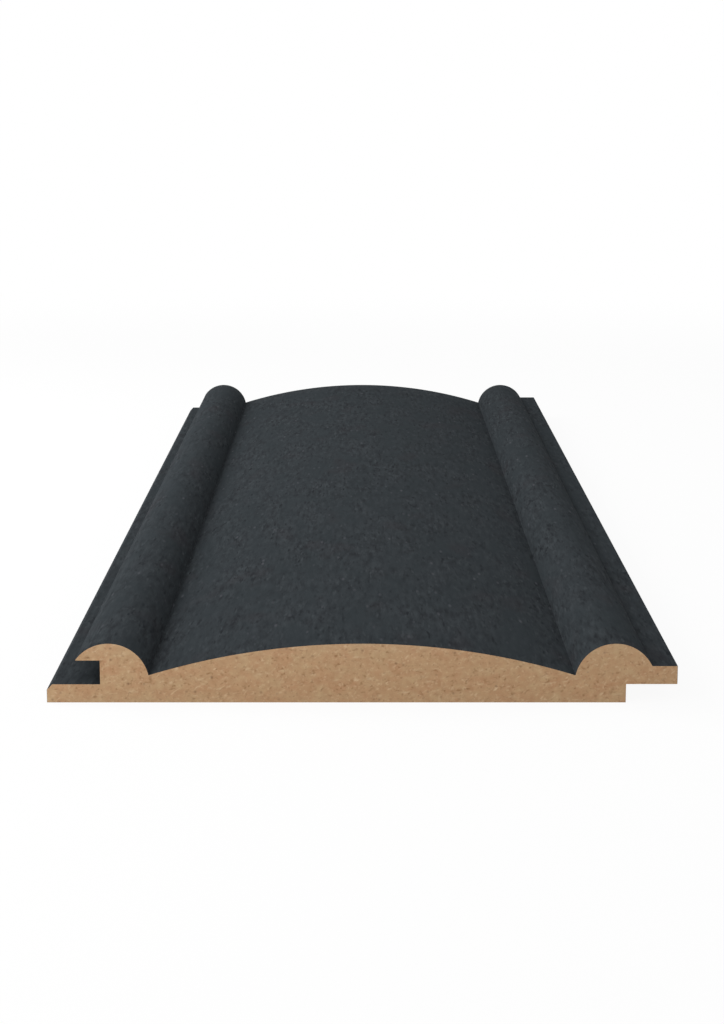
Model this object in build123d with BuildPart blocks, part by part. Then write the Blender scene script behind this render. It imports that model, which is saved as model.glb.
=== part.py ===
from build123d import *
import os
from math import sqrt

# A tongue-and-groove wall panel board, moulded from one strip of medium-density fibreboard.
# Boards stand side by side on a wall: the tongue of one goes into the groove of the next, and
# the long back lip under the groove fills the rabbet behind the tongue. The face has a half-round
# bead along each side and a wide crowned field between them. The two beads that meet over a joint
# make a pair.
#
# Frame: the board lies on its back. X runs across it, with the lip and groove at -X and the tongue
# at +X. Y runs along it. Z goes up from the back to the face. The origin is the middle of the back.
# All sizes are in millimetres.

# The strip
length = 500.0
thickness = 16.0  # of the sheet, and the height of both beads and of the field's crown
cover_width = 152.5  # wall that one laid board takes up: lip edge to rabbet wall

# The joint
lip_thickness = 5.0  # back lip, and the depth of the rabbet that the next board's lip fills
tongue_length = 13.5  # from the rabbet wall to the tongue's tip
tongue_thickness = 4.95
tip_gap = 0.55  # left between the tongue's tip and the groove's wall in a closed joint
groove_play = 1.4  # room above the tongue in the groove
lip_chamfer_width = 1.4  # lead-in on the lip's outer arris
lip_chamfer_height = 1.5

# The face
bead_radius = 10.75
bead_pair_spacing = 19.2  # between the axes of the two beads that meet over a joint
valley_height = 7.45  # of the sharp valley between a bead and the field, above the back

# The joint's faces, from the back's middle
overall_width = cover_width + tongue_length
lip_edge_x = -overall_width / 2
tongue_tip_x = overall_width / 2
rabbet_wall_x = tongue_tip_x - tongue_length
groove_wall_x = lip_edge_x + tongue_length + tip_gap
tongue_top_z = lip_thickness + tongue_thickness
groove_top_z = tongue_top_z + groove_play

# The bead axes: the face is symmetric about the middle, and half a pair's spacing short of each joint
bead_x = (cover_width - bead_pair_spacing) / 2
bead_z = thickness - bead_radius


def bead_reach(z):
    """How far a bead stands out sideways from its own axis at height z."""
    return sqrt(bead_radius**2 - (z - bead_z) ** 2)


valley_x = bead_x - bead_reach(valley_height)
bead_foot_x = bead_x + bead_reach(tongue_top_z)
overhang_tip_x = -bead_x - bead_reach(groove_top_z)

with BuildPart() as wall_panel:
    with BuildSketch(Plane.XZ):
        with BuildLine():
            # Back, rabbet and tongue
            Polyline(
                (lip_edge_x, 0),
                (rabbet_wall_x, 0),
                (rabbet_wall_x, lip_thickness),
                (tongue_tip_x, lip_thickness),
                (tongue_tip_x, tongue_top_z),
                (bead_foot_x, tongue_top_z),
            )
            # Face: bead, field, bead
            ThreePointArc((bead_foot_x, tongue_top_z), (bead_x, thickness), (valley_x, valley_height))
            ThreePointArc((valley_x, valley_height), (0, thickness), (-valley_x, valley_height))
            ThreePointArc((-valley_x, valley_height), (-bead_x, thickness), (overhang_tip_x, groove_top_z))
            # Groove and lip
            Polyline(
                (overhang_tip_x, groove_top_z),
                (groove_wall_x, groove_top_z),
                (groove_wall_x, lip_thickness),
                (lip_edge_x, lip_thickness),
                (lip_edge_x, 0),
            )
        make_face()
    extrude(amount=length / 2, both=True)

    # Lead-in along the lip's outer upper arris
    lip_edge = wall_panel.faces().sort_by(Axis.X)[0]
    lip_arris = lip_edge.edges().filter_by(Axis.Y).sort_by(Axis.Z)[-1]
    chamfer(lip_arris, length=lip_chamfer_height, length2=lip_chamfer_width, reference=lip_edge)

wall_panel.part.label = "wall_panel"

os.makedirs("parts", exist_ok=True)
export_step(wall_panel.part, "parts/wall_panel.step")
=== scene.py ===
import bpy
import numpy as np
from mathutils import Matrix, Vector


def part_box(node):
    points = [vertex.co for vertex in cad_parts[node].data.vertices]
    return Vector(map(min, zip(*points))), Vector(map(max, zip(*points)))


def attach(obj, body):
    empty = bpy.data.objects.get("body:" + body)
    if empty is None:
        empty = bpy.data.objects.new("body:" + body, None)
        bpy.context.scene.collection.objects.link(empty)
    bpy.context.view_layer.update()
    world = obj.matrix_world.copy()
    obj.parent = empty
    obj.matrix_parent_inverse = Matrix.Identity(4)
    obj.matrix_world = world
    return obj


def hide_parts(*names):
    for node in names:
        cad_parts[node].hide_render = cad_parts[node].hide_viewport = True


# A moulded wall panel board with a matt charcoal face, lying on its back on a pale studio floor.
# Metres throughout. X runs across the board, from the lip and groove to the tongue, Y runs along
# it, and Z goes up from its back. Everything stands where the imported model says.
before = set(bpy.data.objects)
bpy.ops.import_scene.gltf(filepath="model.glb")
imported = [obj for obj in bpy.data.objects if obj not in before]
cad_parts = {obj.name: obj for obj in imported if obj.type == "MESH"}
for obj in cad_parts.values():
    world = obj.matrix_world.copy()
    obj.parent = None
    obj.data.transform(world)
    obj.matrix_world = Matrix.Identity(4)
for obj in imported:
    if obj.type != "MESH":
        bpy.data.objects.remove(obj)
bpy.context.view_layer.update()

# The board is one strip of medium-density fibreboard, run through a moulder that cuts the two
# half-round beads, the crowned field, the tongue, the groove over its long lip, and the rabbet.
# The face is then sprayed with matt lacquer, and the strip is sawn square to length.
low_corner, high_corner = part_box("wall_panel")
lip_edge_x, tongue_tip_x = low_corner.x, high_corner.x
front_y, rear_y = low_corner.y, high_corner.y
thickness = 0.016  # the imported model's facets end a hair lower
tongue_length = 0.0135
tongue_thickness = 0.00495
tip_gap = 0.00055  # between the tongue's tip and the wall of the next board's groove
groove_play = 0.0014  # the groove's height past the tongue's thickness
lip_thickness = 0.005
lip_chamfer_width = 0.0014
lip_chamfer_height = 0.0015
bead_radius = 0.01075
bead_pair_spacing = 0.0192  # between the two beads that come side by side where two boards meet
valley_height = 0.00745  # of the lines where the field meets the beads
arris_ease = 0.00012  # the lacquer rounds each cut arris by this much
saw_ease = 0.00006  # what handling takes off the sawn ends' sharp edges
arc_step = 0.0003  # between two points of a bead or of the field
ring_count = 24  # sections between the two ends, so that no face runs the board's whole length
ring_margin = 0.02  # from a sawn end to the first of them

rabbet_wall_x = tongue_tip_x - tongue_length
groove_wall_x = lip_edge_x + tongue_length + tip_gap
tongue_top_z = lip_thickness + tongue_thickness
groove_top_z = tongue_top_z + groove_play
cover_width = rabbet_wall_x - lip_edge_x
bead_x = (cover_width - bead_pair_spacing) / 2
bead_z = thickness - bead_radius


def bead_reach(z):
    """How far a bead stands out sideways from its own axis at height z: the other short side of the
    right triangle whose long side is the bead's radius."""
    return np.sqrt(bead_radius**2 - (z - bead_z) ** 2)


# The field is the arc through both valleys that crests at the board's full thickness.
valley_x = bead_x - bead_reach(valley_height)
crown_rise = thickness - valley_height
crown_radius = (valley_x**2 + crown_rise**2) / (2 * crown_rise)


def arc(centre, radius, start, end):
    """Points along a circle from one angle to another, in degrees, evenly spaced by about arc_step:
    the centre plus the radius times the cosine and the sine of each angle."""
    count = int(np.ceil(abs(np.radians(end - start)) * radius / arc_step)) + 1
    angles = np.radians(np.linspace(start, end, count))
    return np.stack([centre[0] + radius * np.cos(angles), centre[1] + radius * np.sin(angles)], 1)


def bead_arc(side, start_z, end_z):
    """The right (1) or left (-1) bead from its right flank, at height start_z, over its crest to its
    left flank, at height end_z. Each angle is the arcsine of the height over the bead's axis, as a
    share of its radius."""
    start = np.degrees(np.arcsin((start_z - bead_z) / bead_radius))
    end = 180 - np.degrees(np.arcsin((end_z - bead_z) / bead_radius))
    return arc((side * bead_x, bead_z), bead_radius, start, end)


def section_stretches():
    """The board's section as stretches that meet at its arrises, anticlockwise from the back's left
    corner, each with a 1 where lacquer covers it and a 0 where the fibreboard is bare."""
    crown_half = np.degrees(np.arcsin(valley_x / crown_radius))
    crown = arc((0, thickness - crown_radius), crown_radius, 90 - crown_half, 90 + crown_half)
    right_foot_x = bead_x + bead_reach(tongue_top_z)
    groove_mouth_x = -bead_x - bead_reach(groove_top_z)
    chamfer_x = lip_edge_x + lip_chamfer_width
    chamfer_z = lip_thickness - lip_chamfer_height
    stretches = [
        ([(lip_edge_x, 0), (rabbet_wall_x, 0)], 0),
        ([(rabbet_wall_x, 0), (rabbet_wall_x, lip_thickness)], 0),
        ([(rabbet_wall_x, lip_thickness), (tongue_tip_x, lip_thickness)], 0),
        ([(tongue_tip_x, lip_thickness), (tongue_tip_x, tongue_top_z)], 1),
        ([(tongue_tip_x, tongue_top_z), (right_foot_x, tongue_top_z)], 1),
        (bead_arc(1, tongue_top_z, valley_height), 1),
        (crown, 1),
        (bead_arc(-1, valley_height, groove_top_z), 1),
        ([(groove_mouth_x, groove_top_z), (groove_wall_x, groove_top_z)], 1),
        ([(groove_wall_x, groove_top_z), (groove_wall_x, lip_thickness)], 1),
        ([(groove_wall_x, lip_thickness), (chamfer_x, lip_thickness)], 1),
        ([(chamfer_x, lip_thickness), (lip_edge_x, chamfer_z)], 1),
        ([(lip_edge_x, chamfer_z), (lip_edge_x, 0)], 1),
    ]
    return [(np.array(points, float), coated) for points, coated in stretches]


def eased_section(radius, steps=4):
    """The section as one closed loop, with each arris between two stretches rounded: the loop leaves
    the first stretch a radius before the arris and joins the next a radius after it, along the
    quadratic curve whose control point is the arris. Returns the points and, for the edge that leaves
    each of them, a 1 where it is lacquered and a 0 where it is bare."""
    stretches = section_stretches()
    t = np.linspace(0, 1, steps + 1)[:, None]
    points, coated = [], []
    for (this, flag), (following, next_flag) in zip(stretches, stretches[1:] + stretches[:1]):
        corner = this[-1]
        back, ahead = this[-2] - corner, following[1] - corner
        before = corner + radius * back / np.linalg.norm(back)
        after = corner + radius * ahead / np.linalg.norm(ahead)
        curve = (1 - t) ** 2 * before + 2 * t * (1 - t) * corner + t**2 * after
        stretch = np.concatenate([this[1:-1], curve])
        points.append(stretch)
        coated.append(np.append(np.full(len(stretch) - 1, flag), next_flag))
    return np.concatenate(points), np.concatenate(coated)


def inward(points):
    """The loop's inward normals: the directions of each point's two edges, averaged and turned a
    quarter left."""
    ahead = np.roll(points, -1, 0) - points
    ahead /= np.linalg.norm(ahead, axis=1)[:, None]
    along = ahead + np.roll(ahead, 1, 0)
    along /= np.linalg.norm(along, axis=1)[:, None]
    return np.stack([-along[:, 1], along[:, 0]], 1)


def carried_board(name):
    """The section carried along Y. At each end it draws in by saw_ease along a quarter circle, and a
    single flat face closes it. The faces' slots are 0 for lacquer, 1 for the sanded back and rabbet
    and 2 for the sawn ends."""
    loop, coated = eased_section(arris_ease)
    quarter = np.radians([0, 30, 60, 90])
    drawn_in = saw_ease * (1 - np.cos(quarter))
    set_back = saw_ease * (1 - np.sin(quarter))
    middle = np.linspace(front_y + ring_margin, rear_y - ring_margin, ring_count)
    y = np.concatenate([front_y + set_back[::-1], middle, rear_y - set_back])
    draw = np.concatenate([drawn_in[::-1], np.zeros(len(middle)), drawn_in])
    ring = loop[None] + draw[:, None, None] * inward(loop)[None]
    along = np.broadcast_to(y[:, None], ring.shape[:2])
    vertices = np.stack([ring[..., 0], along, ring[..., 1]], -1).reshape(-1, 3)
    rows, columns = ring.shape[:2]
    index = np.arange(rows * columns).reshape(rows, columns)
    right = np.roll(index, -1, 1)
    sides = np.stack([index[:-1], index[1:], right[1:], right[:-1]], -1).reshape(-1, 4)
    ends = [index[0].tolist(), index[-1, ::-1].tolist()]
    mesh = bpy.data.meshes.new(name)
    mesh.from_pydata(vertices.tolist(), [], sides.tolist() + ends)
    smooth = np.ones(len(sides) + len(ends), bool)
    smooth[-len(ends):] = False
    mesh.polygons.foreach_set("use_smooth", smooth)
    slots = np.concatenate([np.tile(1 - coated, rows - 1), [2, 2]])
    mesh.polygons.foreach_set("material_index", slots.astype(np.int32))
    mesh.update()
    return mesh


def linear(hex_colour):
    """An sRGB hex colour as linear light, with an alpha of 1."""
    channels = np.array([int(hex_colour[i:i + 2], 16) for i in (1, 3, 5)]) / 255
    light = np.where(channels <= 0.04045, channels / 12.92, ((channels + 0.055) / 1.055) ** 2.4)
    return (*light.tolist(), 1.0)


def add(tree, kind, settings=None, **inputs):
    """Adds a node, sets its own settings, and fills its inputs with values or links. An input is named
    with _ for a space, or _0, _1 and so on for its place."""
    node = tree.nodes.new(kind)
    for key, value in (settings or {}).items():
        setattr(node, key, value)
    for key, value in inputs.items():
        socket = node.inputs[int(key[1:])] if key[1:].isdigit() else node.inputs[key.replace("_", " ")]
        if isinstance(value, bpy.types.NodeSocket):
            tree.links.new(value, socket)
        else:
            socket.default_value = value
    return node


def new_material(name):
    """An empty node material with its output."""
    material = bpy.data.materials.new(name)
    material.use_nodes = True
    tree = material.node_tree
    tree.nodes.clear()
    return material, tree, add(tree, "ShaderNodeOutputMaterial")


def laid_over(tree, base, layers):
    """The base colour with others laid over it one by one, each by its own share from 0 to 1. A colour
    is an sRGB hex value or what a node puts out."""
    for share, colour in layers:
        under, over = (linear(c) if isinstance(c, str) else c for c in (base, colour))
        mix = add(tree, "ShaderNodeMix", {"data_type": "RGBA"}, _0=share, _6=under, _7=over)
        base = mix.outputs[2]
    return base


def grain(tree, place, size, turn=(0, 0, 0), shift=(0, 0, 0), low=0.3, high=0.7, detail=2.0, most=1.0):
    """Smooth noise whose lumps measure size across in X, Y and Z, after a turn in degrees: 0 where the
    noise is at low or less, and most where it is at high or more."""
    laid = add(tree, "ShaderNodeMapping", Vector=place, Rotation=tuple(np.radians(turn)))
    scaled = add(tree, "ShaderNodeMapping", Vector=laid.outputs[0], Location=shift,
                 Scale=tuple(1 / s for s in size))
    noise = add(tree, "ShaderNodeTexNoise", Vector=scaled.outputs[0], Scale=1.0, Detail=detail,
                Roughness=0.6)
    return add(tree, "ShaderNodeMapRange", Value=noise.outputs["Fac"], From_Min=low, From_Max=high,
               To_Max=most).outputs[0]


def dots(tree, place, spacing, reach, shift=(0, 0, 0), share=0.5):
    """Round dots with soft edges, one in some of the cells of a random packing: 1 in the middle of a dot
    and 0 at its reach, in cells. Only the given share of the cells hold one, and they differ in
    strength."""
    scaled = add(tree, "ShaderNodeMapping", Vector=place, Location=shift,
                 Scale=tuple(1 / s for s in spacing))
    cells = add(tree, "ShaderNodeTexVoronoi", Vector=scaled.outputs[0], Scale=1.0)
    body = add(tree, "ShaderNodeMapRange", Value=cells.outputs["Distance"], From_Min=reach,
               From_Max=0.0)
    chosen = add(tree, "ShaderNodeSeparateColor", Color=cells.outputs["Color"])
    kept = add(tree, "ShaderNodeMapRange", Value=chosen.outputs[0], From_Min=1 - share, From_Max=1.0)
    return add(tree, "ShaderNodeMath", {"operation": "MULTIPLY"}, _0=body.outputs[0],
               _1=kept.outputs[0]).outputs[0]


groove_shade_reach = 0.0082  # from the groove's wall out to where the painted shade in the groove fades out
groove_shade = 0.45  # how much the painted shade darkens the coat at the groove's wall


def matt_lacquer():
    """Dead matt charcoal lacquer over primer, sprayed on and sanded lengthwise between the coats. The
    eye sees short grey flecks drawn out along the board where raised fibres were cut back, with pale
    ridges and dark scratches among them, all thicker in some places than in others. There are a few
    pale nibs and dark pits too, faint clouding from the spray, and hardly any sheen. In the groove the
    coat is darkened towards its wall with painted shade. Real flecks, nibs and pits are 0.2 to
    0.5 mm wide, too fine to show, so they are drawn 1 to 2 mm wide."""
    material, tree, output = new_material("matt_charcoal_lacquer")
    place = add(tree, "ShaderNodeTexCoord").outputs["Object"]
    fleck = grain(tree, place, (0.0015, 0.0085, 0.0015), low=0.28, high=0.72, detail=3.0)
    busy = grain(tree, place, (0.0100, 0.0340, 0.0100), shift=(7.3, 1.9, 4.6), low=0.36, high=0.64,
                 detail=3.0)
    crowding = add(tree, "ShaderNodeMapRange", Value=busy, To_Min=0.3, To_Max=1.5).outputs[0]
    strokes = []
    for shift in ((2.2, 5.8, 0.6), (8.8, 3.3, 6.9)):
        stroke = grain(tree, place, (0.0012, 0.0070, 0.0012), shift=shift, low=0.60, high=0.78,
                       detail=1.0)
        stroke = add(tree, "ShaderNodeMath", {"operation": "MULTIPLY"}, _0=stroke, _1=crowding)
        strokes.append(stroke.outputs[0])
    ridge, scratch = strokes
    nib = dots(tree, place, (0.0018, 0.0075, 0.0018), reach=0.34, shift=(3.1, 7.7, 1.3), share=0.13)
    pit = dots(tree, place, (0.0018, 0.0080, 0.0018), reach=0.34, shift=(9.4, 2.6, 5.2), share=0.17)
    cloud = grain(tree, place, (0.014, 0.040, 0.014), low=0.35, high=0.65, most=0.08)
    warmth = grain(tree, place, (0.013, 0.030, 0.013), shift=(4.2, 0.7, 2.9), low=0.60, high=0.72,
                   detail=1.0, most=0.18)
    # Painted shade in the groove: the coat darkens towards the groove's wall, below the groove's top.
    axes = add(tree, "ShaderNodeSeparateXYZ", Vector=place).outputs
    painted_groove_shade = add(tree, "ShaderNodeMapRange", Value=axes["X"], From_Min=groove_wall_x - groove_shade_reach,
                    From_Max=groove_wall_x, To_Max=groove_shade).outputs[0]
    for axis, limit in (("X", groove_wall_x), ("Z", groove_top_z)):
        within = add(tree, "ShaderNodeMath", {"operation": "LESS_THAN"}, _0=axes[axis],
                     _1=limit + arris_ease)
        painted_groove_shade = add(tree, "ShaderNodeMath", {"operation": "MULTIPLY"}, _0=painted_groove_shade,
                        _1=within.outputs[0]).outputs[0]
    calm = laid_over(tree, "#313639", [(fleck, "#373C3F")])
    stirred = laid_over(tree, "#282A2D", [(fleck, "#404548")])
    colour = laid_over(tree, calm, [
        (busy, stirred),
        (ridge, "#404548"),
        (scratch, "#282B2E"),
        (nib, "#54565B"),
        (pit, "#212427"),
        (cloud, "#44474C"),
        (warmth, "#3A3437"),
        # painted shade towards the groove's wall
        (painted_groove_shade, "#0A0B0C"),
    ])
    height = fleck
    for operation, mark in (("ADD", nib), ("ADD", ridge), ("SUBTRACT", pit)):
        height = add(tree, "ShaderNodeMath", {"operation": operation}, _0=height, _1=mark).outputs[0]
    bump = add(tree, "ShaderNodeBump", Height=height, Strength=1.0, Distance=0.00003)
    dull = add(tree, "ShaderNodeMapRange", Value=fleck, To_Min=0.84, To_Max=0.94)
    shader = add(tree, "ShaderNodeBsdfPrincipled", Base_Color=colour, Roughness=dull.outputs[0],
                 Normal=bump.outputs[0], IOR=1.48, Specular_IOR_Level=0.006)
    tree.links.new(shader.outputs[0], output.inputs[0])
    return material


skin_and_painted_light_depth = 0.0035  # of the paler bands at the sheet's two faces, partly its pressed skins and partly painted light
skin_and_painted_light_share = 0.10  # how much paler the bands are than the core, partly real and partly painted light against the shade near the floor


def fibreboard(name, roughness, nap_height):
    """Bare medium-density fibreboard: steamed wood fibres pressed flat with resin. They lie every way in
    the plane of the sheet, so its back shows them as pale strokes and a sawn end as dashes and dots,
    over a tan mottle of short fibre bundles, with a few longer slivers and brown specks of bark, and
    it is a little paler towards the sheet's two faces, partly from its pressed skins and partly as
    painted light that lifts the shade near the floor. The saw or the sander leaves a fine nap.
    Single fibres are finer than a hair, too fine to show, so bundles about 1 mm wide stand for them."""
    material, tree, output = new_material(name)
    place = add(tree, "ShaderNodeTexCoord").outputs["Object"]
    mottle = grain(tree, place, (0.0021, 0.0021, 0.0019), low=0.25, high=0.75, detail=3.0)
    hue = grain(tree, place, (0.0052, 0.0052, 0.0042), shift=(5.5, 1.1, 8.3), low=0.35, high=0.65)
    pale_lots = [
        ((0.0021, 0.00105, 0.00092), (0, 12, 8), (1.7, 3.9, 2.2)),
        ((0.0018, 0.00092, 0.00092), (0, -28, 63), (6.3, 0.4, 7.1)),
        ((0.0016, 0.00092, 0.00105), (0, 55, -35), (2.8, 9.6, 4.5)),
    ]
    dark_lots = [
        ((0.0016, 0.00105, 0.00105), (0, 8, 20), (4.9, 8.1, 0.7)),
        ((0.0014, 0.00092, 0.00105), (0, -40, 75), (0.2, 2.7, 9.3)),
    ]
    fibres = [grain(tree, place, *lot, low=0.62, high=0.88, detail=1.0) for lot in pale_lots]
    chips = [grain(tree, place, *lot, low=0.62, high=0.88, detail=1.0) for lot in dark_lots]
    bark = dots(tree, place, (0.0022, 0.0022, 0.0019), reach=0.24, shift=(0.9, 6.6, 3.4), share=0.4)
    sliver = grain(tree, place, (0.0032, 0.0011, 0.0010), (0, 40, 15), (8.2, 5.3, 1.6), low=0.68,
                   high=0.84, detail=1.0)
    # Paler towards the sheet's two faces: partly its pressed skins, partly painted light that lifts the
    # shade near the floor.
    level = add(tree, "ShaderNodeSeparateXYZ", Vector=place).outputs["Z"]
    from_core = add(tree, "ShaderNodeMath", {"operation": "SUBTRACT"}, _0=level, _1=thickness / 2)
    from_core = add(tree, "ShaderNodeMath", {"operation": "ABSOLUTE"}, _0=from_core.outputs[0])
    skin_and_painted_light = add(tree, "ShaderNodeMapRange", Value=from_core.outputs[0],
               From_Min=thickness / 2 - skin_and_painted_light_depth, From_Max=thickness / 2, To_Max=skin_and_painted_light_share)
    warmer = laid_over(tree, "#AC8462", [(mottle, "#BE9975")])
    greyer = laid_over(tree, "#AF8D6A", [(mottle, "#C0A37E")])
    colour = laid_over(tree, warmer, [
        (hue, greyer),
        *((stroke, "#CAAE8C") for stroke in fibres),
        *((stroke, "#8B6847") for stroke in chips),
        (bark, "#735641"),
        (sliver, "#CFB492"),
        # paler bands: pressed skins and painted light
        (skin_and_painted_light.outputs[0], "#D3B998"),
    ])
    nap = add(tree, "ShaderNodeMath", {"operation": "ADD"}, _0=mottle, _1=fibres[0])
    bump = add(tree, "ShaderNodeBump", Height=nap.outputs[0], Strength=1.0, Distance=nap_height)
    shader = add(tree, "ShaderNodeBsdfPrincipled", Base_Color=colour, Roughness=roughness,
                 Normal=bump.outputs[0], IOR=1.5, Specular_IOR_Level=0.2)
    tree.links.new(shader.outputs[0], output.inputs[0])
    return material


board = bpy.data.objects.new("moulded_board", carried_board("moulded_board"))
bpy.context.scene.collection.objects.link(board)
board.data.materials.append(matt_lacquer())
board.data.materials.append(fibreboard("sanded_fibreboard", roughness=0.8, nap_height=0.00002))
board.data.materials.append(fibreboard("sawn_fibreboard", roughness=0.9, nap_height=0.00004))
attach(board, "root")
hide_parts("wall_panel")

# The studio floor is a round sheet of white paper. The camera and reflections see it nearly white near
# the board, where it keeps the board's shadow, and plain white further off.
floor_radius = 3.0
floor_corners = 96  # round its rim
shadow_reach = 0.45  # from the board's middle, out to where the paper starts to lose its shadow
white_reach = 0.9  # and where it is plain white
shadow_share = 0.07  # of the lit paper in what the camera sees near the board
turn = np.linspace(0, 2 * np.pi, floor_corners, endpoint=False)
rim = np.stack([floor_radius * np.cos(turn), floor_radius * np.sin(turn), np.zeros(floor_corners)], 1)
floor_mesh = bpy.data.meshes.new("studio_floor")
floor_mesh.from_pydata(rim.tolist(), [], [list(range(floor_corners))])
floor = bpy.data.objects.new("studio_floor", floor_mesh)
bpy.context.scene.collection.objects.link(floor)


def seen_rays(tree):
    """1 for a ray from the camera, or from a mirror or a glass that shows the studio, and 0 for one that
    brings light."""
    rays = add(tree, "ShaderNodeLightPath").outputs
    seen = rays["Is Camera Ray"]
    for kind in ("Is Glossy Ray", "Is Transmission Ray"):
        seen = add(tree, "ShaderNodeMath", {"operation": "MAXIMUM"}, _0=seen, _1=rays[kind]).outputs[0]
    return seen


paper, tree, output = new_material("white_paper")
place = add(tree, "ShaderNodeTexCoord").outputs["Object"]
distance = add(tree, "ShaderNodeVectorMath", {"operation": "LENGTH"}, _0=place)
glowing = add(tree, "ShaderNodeMapRange", {"interpolation_type": "SMOOTHSTEP"},
              Value=distance.outputs["Value"], From_Min=shadow_reach, From_Max=white_reach,
              To_Min=1 - shadow_share, To_Max=1.0)
share = add(tree, "ShaderNodeMath", {"operation": "MULTIPLY"}, _0=seen_rays(tree),
            _1=glowing.outputs[0])
lit = add(tree, "ShaderNodeBsdfDiffuse", Color=linear("#FAFAFA"))
plain_white = add(tree, "ShaderNodeEmission", Color=linear("#FFFFFF"), Strength=1.0)
mixed = add(tree, "ShaderNodeMixShader", _0=share.outputs[0], _1=lit.outputs[0],
            _2=plain_white.outputs[0])
tree.links.new(mixed.outputs[0], output.inputs[0])
floor_mesh.materials.append(paper)

# The light is a plain pale room and two near soft boxes on the board's left, one beside it and one in
# front, so that the light falls off to the right. The camera and reflections see a white backdrop.
room_light = 0.543
world = bpy.data.worlds.new("studio")
bpy.context.scene.world = world
world.use_nodes = True
tree = world.node_tree
tree.nodes.clear()
room = add(tree, "ShaderNodeBackground", Color=linear("#FFFFFF"), Strength=room_light)
backdrop = add(tree, "ShaderNodeBackground", Color=linear("#FFFFFF"), Strength=1.0)
mixed = add(tree, "ShaderNodeMixShader", _0=seen_rays(tree), _1=room.outputs[0],
            _2=backdrop.outputs[0])
tree.links.new(mixed.outputs[0], add(tree, "ShaderNodeOutputWorld").inputs[0])


def soft_box(name, bearing, rise, distance, size, power):
    """A square lamp in watts that faces the middle of the board's face, at a distance from it, at a
    bearing from the front, anticlockwise seen from above, and at a rise above the floor, in degrees."""
    bearing, rise = np.radians([bearing, rise])
    outwards = Vector((np.sin(bearing) * np.cos(rise), -np.cos(bearing) * np.cos(rise), np.sin(rise)))
    lamp = bpy.data.lights.new(name, "AREA")
    lamp.size = size
    lamp.energy = power
    box = bpy.data.objects.new(name, lamp)
    box.location = Vector((0, 0, thickness)) + outwards * distance
    box.rotation_euler = (-outwards).to_track_quat("-Z", "Y").to_euler()
    bpy.context.scene.collection.objects.link(box)


soft_box("side_box", bearing=-105, rise=35, distance=0.6, size=0.4, power=2.42)
soft_box("front_box", bearing=-30, rise=26, distance=0.6, size=0.4, power=0.756)

# The camera looks down the board from in front of its sawn end, a little above it.
camera_distance = 0.5663  # from the sawn end
camera_height = 0.16173
camera_tilt = 11.0496  # degrees below the horizon
camera_data = bpy.data.cameras.new("camera")
camera_data.sensor_width = 36
camera_data.lens = 78.279
camera_data.clip_start = 0.01
camera = bpy.data.objects.new("camera", camera_data)
camera.location = (0, front_y - camera_distance, camera_height)
camera.rotation_euler = (np.radians(90 - camera_tilt), 0, 0)
bpy.context.scene.collection.objects.link(camera)
bpy.context.scene.camera = camera
bpy.context.scene.view_settings.view_transform = "Standard"
